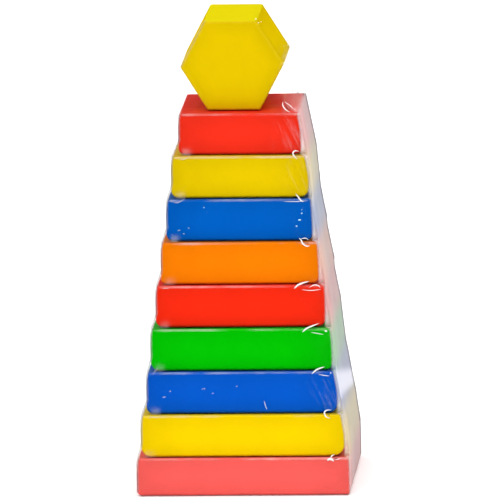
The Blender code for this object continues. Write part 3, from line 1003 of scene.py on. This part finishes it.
def film_folds_at_ledges():
    """Soft tension folds that fan out from each block's lower corner over the ledge.

    For each of the four sides: a list of folds, each a start and a stop in
    (position along the side, height), with the width and height of the fold.
    """
    rng = random.Random(7)
    boxes = [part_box(row[0]) for row in BLOCKS]
    folds = {"front": [], "back": [], "left": [], "right": []}
    for k in range(len(boxes) - 1):
        lo, hi = boxes[k]
        up_lo, up_hi = boxes[k + 1]
        z = hi.z
        for side, (a0, a1, b0, b1) in {
            "front": (lo.x, hi.x, up_lo.x, up_hi.x),
            "back": (lo.x, hi.x, up_lo.x, up_hi.x),
            "left": (lo.y, hi.y, up_lo.y, up_hi.y),
            "right": (lo.y, hi.y, up_lo.y, up_hi.y),
        }.items():
            for end, (outer, inner, sign) in enumerate(((a0, b0, 1), (a1, b1, -1))):
                for _ in range(3):
                    start = (outer + sign * rng.uniform(0.5, 3.0) * MM, z - rng.uniform(0.2, 1.5) * MM)
                    stop = (
                        inner + sign * rng.uniform(1.0, 9.0) * MM,
                        z + rng.uniform(2.5, 8.0) * MM,
                    )
                    folds[side].append((start, stop, rng.uniform(0.7, 1.3) * MM, rng.uniform(0.10, 0.26) * MM))
            if side in ("right", "back"):
                for _ in range(4):
                    at = rng.uniform(min(b0, b1) + 4 * MM, max(b0, b1) - 4 * MM)
                    start = (at, z + rng.uniform(-1.0, 1.0) * MM)
                    stop = (at + rng.uniform(-3, 3) * MM, z + rng.uniform(9, 17) * MM)
                    folds[side].append((start, stop, rng.uniform(2.0, 3.6) * MM, rng.uniform(0.08, 0.20) * MM))
    return folds


def film_outline(left, right, front, back, radius, per_corner=7):
    """Like outline, with points close together near the front's two ends and along the right side's ends."""
    near = np.array([0.4, 0.9, 1.5, 2.3, 3.3, 4.6, 6.4, 9.0, 13.0]) * MM
    spread = {
        0: (np.array([1.5, 4.0, 7.0, 11.0, 16.0, 22.0]) * MM, 5, np.array([2.0, 4.5, 8.0, 12.0, 17.0]) * MM),
        1: (np.array([2.0, 6.0]) * MM, 12, np.array([2.0, 6.0]) * MM),
        2: (np.array([2.0, 6.0]) * MM, 12, np.array([2.0, 6.0]) * MM),
        3: (near, 7, near),
    }
    corners = (
        (right - radius, front + radius),
        (right - radius, back - radius),
        (left + radius, back - radius),
        (left + radius, front + radius),
    )
    arcs = []
    for k, (cx, cy) in enumerate(corners):
        turn = -math.pi / 2 + k * math.pi / 2 + np.linspace(0, math.pi / 2, per_corner)
        arcs.append(np.stack([cx + radius * np.cos(turn), cy + radius * np.sin(turn)], 1))
    points = []
    for k in range(4):
        a, b = arcs[k][-1], arcs[(k + 1) % 4][0]
        length = np.linalg.norm(b - a)
        first, count, last = spread[k]
        squeeze = min(1.0, length / (54 * MM))
        first, last = first * squeeze / length, 1 - last[::-1] * squeeze / length
        inside = np.linspace(first[-1], last[0], count + 2)[1:-1]
        share = np.concatenate([first, inside, last])[:, None]
        points += [arcs[k], a * (1 - share) + b * share]
    return np.concatenate(points)


def film_tint(z, ledges):
    """The mean colour of the pieces some millimetres above and below a height."""
    total, whole = np.zeros(3), 0.0
    for step in range(-6, 7):
        at = z + step * 1.1 * MM
        index = sum(at > ledge for ledge in ledges[:-1]) + (at > ledges[-1] + 7.0 * MM)
        share = 1.0 - abs(step) / 7.0
        total += share * np.array(FINIAL_COLOUR if index >= len(BLOCKS) else BLOCKS[index][3])
        whole += share
    return total / whole


FINIAL_COLOUR = (0.80, 0.66, 0.03)
TUG = {8: 1.0, 7: 0.45, 6: 0.12, 5: 0.0, 4: 0.15, 3: 0.12, 2: 0.6, 1: 0.0, 0: 0.15}


def make_film():
    b = Build(
        "past", "past_left", "above", "depth", "tail", "slack", "tug", "over", "corner", "crease", "blade",
        "under", "tint_r", "tint_g", "tint_b",
    )  # fmt: skip
    top_z = SECTION_Z[-1]
    boxes = [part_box(row[0]) for row in BLOCKS]
    ledges = [hi.z for lo, hi in boxes]
    step_levels = np.concatenate(
        [np.arange(FILM_HEM, top_z, 1.0 * MM)]
        + [np.linspace(z - 1.8 * MM, z + 5.2 * MM, 15) for z in ledges]
        + [SECTION_Z]
    )
    levels = np.unique(np.round(step_levels[(step_levels >= FILM_HEM) & (step_levels <= top_z)] / MM, 2)) * MM
    keep = [levels[0]]
    for z in levels[1:]:
        if z - keep[-1] > 0.24 * MM:
            keep.append(z)
    levels = keep + ([top_z] if top_z - keep[-1] > 1e-6 else [])
    folds = film_folds_at_ledges()
    block_top = ledges[-1]

    outers, inners = [], []
    for z in levels:
        left, right, front, back, radius = film_at(z)
        flat = film_outline(left, right, front, back, radius)
        grown = film_outline(left - FILM, right + FILM, front - FILM, back + FILM, radius + FILM)
        turned = grown - flat
        normal = turned / np.maximum(np.linalg.norm(turned, axis=1, keepdims=True), 1e-9)
        # on the straight sides the two outlines' points needn't stand opposite each other
        straight = [
            (np.abs(flat[:, 0] - right) < 1e-7, (1.0, 0.0)),
            (np.abs(flat[:, 0] - left) < 1e-7, (-1.0, 0.0)),
            (np.abs(flat[:, 1] - front) < 1e-7, (0.0, -1.0)),
            (np.abs(flat[:, 1] - back) < 1e-7, (0.0, 1.0)),
        ]
        for mask, direction in straight:
            normal[mask] = direction
        right_side = np.clip(normal[:, 0], 0, 1)
        left_side = np.clip(-normal[:, 0], 0, 1)
        front_side = np.clip(-normal[:, 1], 0, 1)
        back_side = np.clip(normal[:, 1], 0, 1)
        push = np.zeros(len(flat))
        crease = np.zeros(len(flat))
        if z < block_top:
            for side, weight, axis in (
                ("front", front_side, 0),
                ("back", back_side, 0),
                ("left", left_side, 1),
                ("right", right_side, 1),
            ):
                plane = np.column_stack([flat[:, axis], np.full(len(flat), z)])
                for start, stop, width, high in folds[side]:
                    if z < start[1] - 3 * width or z > stop[1] + 3 * width:
                        continue
                    ridge = segment_ridge(plane, start, stop, width) * weight**3
                    push += ridge * high * (0.4 if side == "right" else 1.0)
                    crease += ridge**2 * (0.006 if side in ("front", "left") else 0.012)
            # slack film on the right and at the back ripples a little
            slackness = np.maximum(right_side, back_side) ** 4
            for i, (x, y) in enumerate(flat):
                if slackness[i] > 0.05:
                    ripple = noise.noise(Vector((x * 60, y * 60, z * 22)))
                    push[i] += slackness[i] * 0.07 * MM * max(ripple + 0.25, 0.0)
        moved = normal * push[:, None]
        # a painted highlight on the right of the third block, a pale blade shaped like a loose fold, slants down
        # towards the back
        inward = (flat[:, 1] - front) / MM
        off_line = np.abs(z / MM - (52.0 - 0.14 * inward)) / (6.6 - 0.035 * inward)
        blade = right_side**2 * np.exp(-(np.clip(off_line, 0, 3) ** 5)) * np.clip(inward / 2.0, 0, 1)
        index = min(sum(z > ledge + 0.15 * MM for ledge in ledges), len(boxes) - 1)
        over = z > block_top + 0.15 * MM
        low_edge = ledges[index - 1] if index else -20.0 * MM
        block_edge = boxes[index][1].x - BLOCKS[index][7] * MM * drawn_in(max(ledges[index] - z, 0.0) / RIGHT_REACH)
        tint = film_tint(z, ledges)
        values = {
            "past": (flat[:, 0] - block_edge) / MM if not over else -20.0,
            "tint_r": tint[0],
            "tint_g": tint[1],
            "tint_b": tint[2],
            "past_left": (flat[:, 0] - boxes[index][0].x) / MM if not over else 40.0,
            "above": (z - low_edge) / MM if not over else 20.0,
            "depth": (flat[:, 1] - front) / MM,
            "tail": (back - flat[:, 1]) / MM,
            "slack": np.maximum(right_side, back_side) ** 2 * (1.0 if z < block_top + 6 * MM else 0.75),
            "tug": TUG[index] if not over else 0.0,
            "over": 1.0 if over else 0.0,
            "corner": np.minimum(np.hypot(flat[:, 0] - left, flat[:, 1] - front) / MM, 9.0),
            "crease": crease,
            "blade": blade,
            "under": abs(ledges[index] - 0.25 * MM - z) / MM if not over else 20.0,
        }
        outers.append(b.ring(with_height(flat + normal * FILM + moved, z), **values))
        inners.append(b.ring(with_height(flat + moved, z - (FILM if z > block_top else 0.0)), **values))
    for low, high in zip(outers, outers[1:]):
        b.skin(low, high)
    for low, high in zip(inners, inners[1:]):
        b.skin(high, low)
    b.skin(inners[0], outers[0])
    for ring, z in ((outers[-1], top_z + FILM), (inners[-1], top_z)):
        outer = np.array([b.points[i] for i in ring])
        centre = outer.mean(0)
        last = ring
        for share in (0.04, 0.12, 0.3, 0.5, 0.7, 0.9):
            points = outer * (1 - share) + centre * share
            points[:, 2] = z
            inner = b.ring(
                points, past=-20.0, past_left=40.0, above=20.0, depth=20.0, tail=20.0, over=1.0, corner=9.0, under=20.0,
                tint_r=0.6, tint_g=0.5, tint_b=0.3,
            )  # fmt: skip
            if ring is outers[-1]:
                b.skin(last, inner)
            else:
                b.skin(inner, last)
            last = inner
        b.cap(last)
    film = b.make("shrink_film_hood", [clear_film("clear_film_sheet")], angle=None)
    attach(film, "film")
    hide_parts("shrink_film")
    return film


def front_of_film(z):
    return film_at(z)[2] - FILM


class Folds:
    """Hard folds of doubled film, each a small tapered ridge that stands on the sheet."""

    def __init__(self):
        self.b = Build("crease")

    def ridge(self, path, outward, width, height=0.30, slot=0, strength=1.0, blunt=0.8):
        """path is a list of 3-D points, outward the film's normal along it, width in mm."""
        path = [Vector(p) for p in path]
        fine = []
        for k in range(len(path) - 1):
            p0 = path[max(k - 1, 0)]
            p1, p2 = path[k], path[k + 1]
            p3 = path[min(k + 2, len(path) - 1)]
            for s in range(6):
                t = s / 6
                fine.append(
                    0.5
                    * (
                        2 * p1
                        + (p2 - p0) * t
                        + (2 * p0 - 5 * p1 + 4 * p2 - p3) * t * t
                        + (3 * p1 - p0 - 3 * p2 + p3) * t**3
                    )
                )
        fine.append(path[-1])
        rings = []
        count = len(fine)
        for i, p in enumerate(fine):
            before, after = fine[max(i - 1, 0)], fine[min(i + 1, count - 1)]
            along = (after - before).normalized()
            out = Vector(outward(p) if callable(outward) else outward).normalized()
            out = (out - along * out.dot(along)).normalized()
            across = along.cross(out)
            share = i / (count - 1)
            swell = max(math.sin(math.pi * (0.03 + 0.94 * share)), 0.0) ** blunt
            half = width * MM / 2 * swell
            rise = height * width * MM * swell
            loop = []
            for step in range(10):
                turn = 2 * math.pi * step / 10
                lift = math.sin(turn)
                loop.append(p + across * half * math.cos(turn) + out * (rise * lift if lift > 0 else 0.12 * rise * lift))
            rings.append(self.b.ring([tuple(q) for q in loop], crease=strength * min(1.0, 0.35 + swell)))
        for low, high in zip(rings, rings[1:]):
            self.b.skin(low, high, slot)
        self.b.cap(rings[0], slot)
        self.b.cap(rings[-1], slot)


def make_folds():
    folds = Folds()
    boxes = [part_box(row[0]) for row in BLOCKS]
    # strokes at the lower right corner of each block's front, painted glints in slot 0 and painted shade in slot 1,
    # in mm from that block's right edge and from the ledge that it stands on
    strokes = {
        8: [
            (((-1.0, 2.0), (-2.6, 2.3), (-3.7, 1.5), (-3.3, 0.3), (-1.7, -1.5)), 0.75, 0),
            (((-1.9, 1.3), (-2.6, 0.6), (-1.6, 0.0)), 0.35, 1),
        ],
        7: [
            (((-6.2, 2.4), (-5.0, 1.0), (-3.9, -0.4), (-2.4, -1.3)), 0.8, 0),
            (((-12.0, -1.0), (-6.0, -1.1), (-0.5, -0.7)), 0.28, 0),
        ],
        6: [
            (((-6.4, 1.9), (-5.3, 0.9), (-4.4, -0.7), (-2.8, -1.7), (-1.2, -1.6)), 0.8, 0),
            (((-5.4, 1.5), (-3.4, 1.8), (-1.7, 1.0)), 0.45, 0),
            (((-4.4, 0.5), (-2.9, -0.4), (-1.4, -0.2)), 0.35, 1),
        ],
        5: [
            (((-11.6, -1.5), (-9.2, 0.5), (-4.4, 1.9)), 0.95, 0),
            (((-4.6, -1.0), (-2.2, 0.2), (-0.2, -0.1), (0.6, -1.0)), 0.6, 0),
            (((-8.0, -1.9), (-3.4, -2.3), (1.2, -1.7)), 0.4, 0),
            (((-8.6, -0.5), (-6.0, 0.4), (-4.0, 0.7)), 0.3, 1),
        ],
        4: [
            (((-10.8, -1.6), (-8.4, 0.3), (-2.9, 2.3)), 0.85, 0),
            (((-6.8, -1.6), (-3.8, -2.2), (-0.8, -2.7)), 0.35, 0),
            (((-0.4, -1.0), (0.3, -1.1), (0.9, -1.3)), 0.8, 0),
            (((-8.0, -0.8), (-5.0, 0.2), (-3.0, 0.6)), 0.3, 1),
        ],
        3: [
            (((-9.5, -1.0), (-7.3, 0.8), (-3.5, 2.2)), 0.85, 0),
            (((-6.4, -1.2), (-3.6, -1.7), (-1.2, -2.0)), 0.35, 0),
            (((-0.9, -0.5), (-0.3, -0.6)), 0.7, 0),
        ],
        2: [
            (((-2.8, 2.1), (-5.0, 2.0), (-6.1, 1.0), (-5.3, -0.8), (-3.2, -1.6)), 0.75, 0),
            (((-4.4, 0.9), (-4.3, 0.1), (-3.4, -0.3)), 0.35, 1),
        ],
        1: [
            (((-8.3, -1.2), (-6.7, -0.5), (-5.1, -1.6)), 1.35, 0),
            (((-6.9, -0.4), (-6.0, 0.9), (-4.9, 1.4)), 0.6, 0),
            (((-4.6, -0.9), (-3.0, -0.6), (-1.2, 0.2)), 0.3, 0),
            (((-5.6, 0.3), (-4.4, -0.3), (-3.2, 0.2)), 0.4, 1),
        ],
    }
    for k, rows in strokes.items():
        ledge = boxes[k - 1][1].z
        edge = boxes[k][1].x
        for path, width, slot in rows:
            points = []
            for dx, dz in path:
                z = ledge + dz * MM
                points.append((edge + dx * MM, front_of_film(z) - 0.02 * MM, z))
            folds.ridge(points, (0, -1, 0.15), width * 0.92, slot=slot, strength=0.86 if slot == 0 else 0.7)
    # specks and a scratch in the film on the two blue fronts, real nicks whose brightness is a painted glint, in mm
    # from the block's right edge and its ledge
    specks = (
        (6, -4.9, 15.0, 0.42, 0.8),
        (6, -4.9, 13.3, 0.62, 1.0),
        (6, -6.0, 10.2, 1.35, 1.0),
        (6, -7.4, 7.3, 0.75, 1.0),
        (6, -50.6, 16.4, 0.45, 0.9),
        (6, -49.2, 14.2, 0.25, 0.4),
        (6, -62.5, 5.6, 1.5, 0.20),
        (6, -60.2, 4.1, 0.9, 0.22),
        (6, -57.9, 6.8, 0.7, 0.16),
        (2, -81.0, 8.5, 1.6, 0.16),
        (2, -78.2, 11.2, 0.9, 0.20),
        (2, -62.5, 12.3, 1.8, 0.13),
        (2, -58.3, 10.1, 1.1, 0.16),
        (2, -47.0, 13.4, 0.8, 0.16),
    )
    # one short steep scratch
    scratch = [(10.3, 44.2), (10.6, 42.9), (11.0, 41.5), (11.7, 40.2)]
    folds.ridge(
        [(x * MM, front_of_film(z * MM) - 0.02 * MM, z * MM) for x, z in scratch],
        (0, -1, 0), 0.36, slot=0, strength=0.62,
    )  # fmt: skip
    for k, dx, dz, size, strength in specks:
        x, z = boxes[k][1].x + dx * MM, boxes[k - 1][1].z + dz * MM
        points = [
            (x + size * MM * t, front_of_film(z) - 0.02 * MM, z + 0.15 * size * MM * t)
            for t in (-0.5, -0.2, 0.2, 0.5)
        ]
        folds.ridge(points, (0, -1, 0), min(0.62, size), slot=2 if k == 6 else 0, strength=strength, blunt=0.5)
    # a leaf-shaped fold over the uppermost block's top, near its right-front
    # corner, with a painted glint and painted shade inside, in mm from the stack's middle and up the film that leans
    # there
    rim = boxes[8][1].z + FILM_CLEAR
    leaf = (
        (((20.2, 4.3), (20.1, 2.6), (21.6, 0.8), (23.9, 0.12)), 0.62, 0, 0.95),
        (((20.9, 4.4), (22.4, 3.2), (24.7, 1.8)), 0.38, 0, 0.85),
        (((23.0, 2.7), (24.6, 1.5), (26.4, 0.7)), 0.28, 0, 0.55),
        (((21.4, 2.7), (22.1, 1.5), (23.2, 0.6)), 0.46, 1, 0.90),
        (((22.6, 2.3), (23.4, 1.4), (24.3, 0.7)), 0.28, 1, 0.70),
    )
    for path, width, slot, strength in leaf:
        points = [
            (x * MM, front_of_film(rim + up * MM) - 0.03 * MM, rim + up * MM) for x, up in path
        ]
        folds.ridge(points, (0, -1, 0.8), width, slot=slot, strength=strength)
    # painted glints along the finial's upper right facet
    for x, z, size in ((8.1, 220.9, 0.70), (9.4, 219.2, 0.60), (10.6, 219.6, 0.40), (20.7, 200.1, 0.60), (22.0, 201.6, 0.40), (22.9, 208.6, 0.50), (21.0, 208.2, 0.35)):
        z *= MM
        points = [(x * MM + size * MM * t, film_at(z)[2] - FILM - 0.02 * MM, z) for t in (-0.5, -0.2, 0.2, 0.5)]
        folds.ridge(points, (0, -1, 0), size, slot=3, strength=0.85, blunt=0.5)

    # shorter, random folds at the other corners of every ledge, with a painted white glint
    rng = random.Random(21)
    for k in range(1, 9):
        lower, upper = boxes[k - 1], boxes[k]
        ledge = lower[1].z
        for side, normal in (
            ("left_front", (0, -1, 0.15)),
            ("right_side", (1, 0, 0.12)),
            ("back", (0, 1, 0.12)),
            ("left_side", (-1, 0, 0.2)),
        ):
            for near_end in (0, 1):
                if side == "left_front" and near_end == 1:
                    continue
                if rng.random() < 0.25:
                    continue
                path = []
                reach = rng.uniform(2.0, 7.0)
                rise = rng.uniform(-1.5, 2.5)
                bow = rng.uniform(-0.8, 0.8)
                for s in (0.0, 0.35, 0.7, 1.0):
                    dz = -1.2 + (rise + 1.2) * s + bow * math.sin(math.pi * s)
                    z = ledge + dz * MM
                    left, right, front, back, radius = film_at(z)
                    step = (1.0 + reach * s) * MM
                    if side == "left_front":
                        path.append((upper[0].x + step, front - FILM, z))
                    elif side == "back":
                        x = upper[0].x + step if near_end == 0 else upper[1].x - step
                        path.append((x, back + FILM, z))
                    elif side == "right_side":
                        y = upper[0].y + step if near_end == 0 else upper[1].y - step
                        path.append((right + FILM, y, z))
                    else:
                        y = upper[0].y + step if near_end == 0 else upper[1].y - step
                        path.append((left - FILM, y, z))
                weak = side == "left_front"
                folds.ridge(path, normal, rng.uniform(0.22, 0.4) if weak else rng.uniform(0.3, 0.7), slot=0, strength=0.35 if weak else 0.7)
    # the lit, speck and spark colours are painted highlights, the shade colour is painted shade
    piece = folds.b.make(
        "shrink_film_folds",
        [
            fold_film("clear_film_fold_lit", (0.95, 0.95, 0.96), 0.95),
            fold_film("clear_film_fold_shade", (0.05, 0.04, 0.04), 0.75),
            fold_film("clear_film_speck_glint", (0.50, 0.86, 0.95), 0.95),
            fold_film("clear_film_spark_glint", (0.95, 0.92, 0.45), 0.90),
        ],
        angle=None,
    )
    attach(piece, "film")
    return piece


make_film()
make_folds()


# ---------------------------------------------------------------- stage and light


def make_floor():
    bm = bmesh.new()
    bmesh.ops.create_circle(bm, cap_ends=True, segments=96, radius=40.0)
    mesh = bpy.data.meshes.new("floor")
    bm.to_mesh(mesh)
    bm.free()
    mat, n = new_material("pale_floor")
    coords = n.add("ShaderNodeTexCoord").outputs["Object"]
    grain = n.noise(coords, 3.0, 2.0, 0.5)
    shader = n.add("ShaderNodeBsdfPrincipled")
    n.put(shader.inputs["Base Color"], n.mix(grain, (0.94, 0.94, 0.94, 1.0), (0.96, 0.96, 0.96, 1.0)))
    shader.inputs["Emission Color"].default_value = (1.0, 1.0, 1.0, 1.0)
    shader.inputs["Emission Strength"].default_value = 0.10
    shader.inputs["Roughness"].default_value = 0.9
    shader.inputs["Specular IOR Level"].default_value = 0.0
    out = n.add("ShaderNodeOutputMaterial")
    n.put(out.inputs["Surface"], shader.outputs[0])
    mesh.materials.append(mat)
    floor = bpy.data.objects.new("floor", mesh)
    floor.location = (0.0, 0.0, -0.0003)
    bpy.context.scene.collection.objects.link(floor)


def make_world():
    """A white studio with dim side walls, and a dark screen low behind the toy."""
    world = bpy.data.worlds.new("studio")
    world.use_nodes = True
    n = Nodes(world.node_tree)
    direction = n.add("ShaderNodeTexCoord").outputs["Generated"]
    split = n.add("ShaderNodeSeparateXYZ")
    n.put(split.inputs[0], direction)
    side = n.math("ABSOLUTE", split.outputs[0])
    level = n.remap(side, 0.35, 0.9, 1.005, 0.42, smooth=True)
    level = n.math("ADD", level, n.remap(split.outputs[2], 0.45, 0.9, 0.0, 0.62, smooth=True))
    band = n.math(
        "MULTIPLY",
        n.remap(split.outputs[2], 0.02, 0.08, 0.0, 1.0, smooth=True),
        n.remap(split.outputs[2], 0.36, 0.46, 1.0, 0.0, smooth=True),
    )
    band = n.math("MULTIPLY", band, n.remap(split.outputs[1], 0.15, 0.5, 0.0, 0.97, smooth=True))
    level = n.math("MULTIPLY", level, n.math("SUBTRACT", 1.0, band))
    seen = n.add("ShaderNodeLightPath").outputs["Is Camera Ray"]
    level = n.math("ADD", n.math("MULTIPLY", level, n.math("SUBTRACT", 1.0, seen)), seen)
    back = n.add("ShaderNodeBackground")
    back.inputs["Color"].default_value = (1.0, 1.0, 1.0, 1.0)
    n.put(back.inputs["Strength"], level)
    out = n.add("ShaderNodeOutputWorld")
    n.put(out.inputs["Surface"], back.outputs[0])
    bpy.context.scene.world = world


def aim(obj, target):
    obj.rotation_euler = (Vector(target) - obj.location).to_track_quat("-Z", "Y").to_euler()


def make_lights():
    sun = bpy.data.lights.new("overhead", "SUN")
    sun.energy = 0.9
    sun.angle = math.radians(50)
    lamp = bpy.data.objects.new("overhead", sun)
    lamp.location = (-0.3, -1.0, 2.2)
    bpy.context.scene.collection.objects.link(lamp)
    aim(lamp, (0, 0, 0))

    for name, place, size, power, diffuse in (
        ("strip_right", (1.6, 0.9, 0.5), (0.25, 1.4), 26.0, False),
        ("strip_left", (-1.5, -0.5, 0.6), (0.18, 1.2), 10.0, False),
    ):
        data = bpy.data.lights.new(name, "AREA")
        data.shape = "RECTANGLE"
        data.size, data.size_y = size
        data.energy = power
        lamp = bpy.data.objects.new(name, data)
        lamp.location = place
        bpy.context.scene.collection.objects.link(lamp)
        aim(lamp, (0, 0, 0.1))
        lamp.visible_camera = False
        lamp.visible_diffuse = diffuse


make_floor()
make_world()
make_lights()

bpy.context.scene.view_settings.view_transform = "Standard"
bpy.context.scene.view_settings.look = "None"
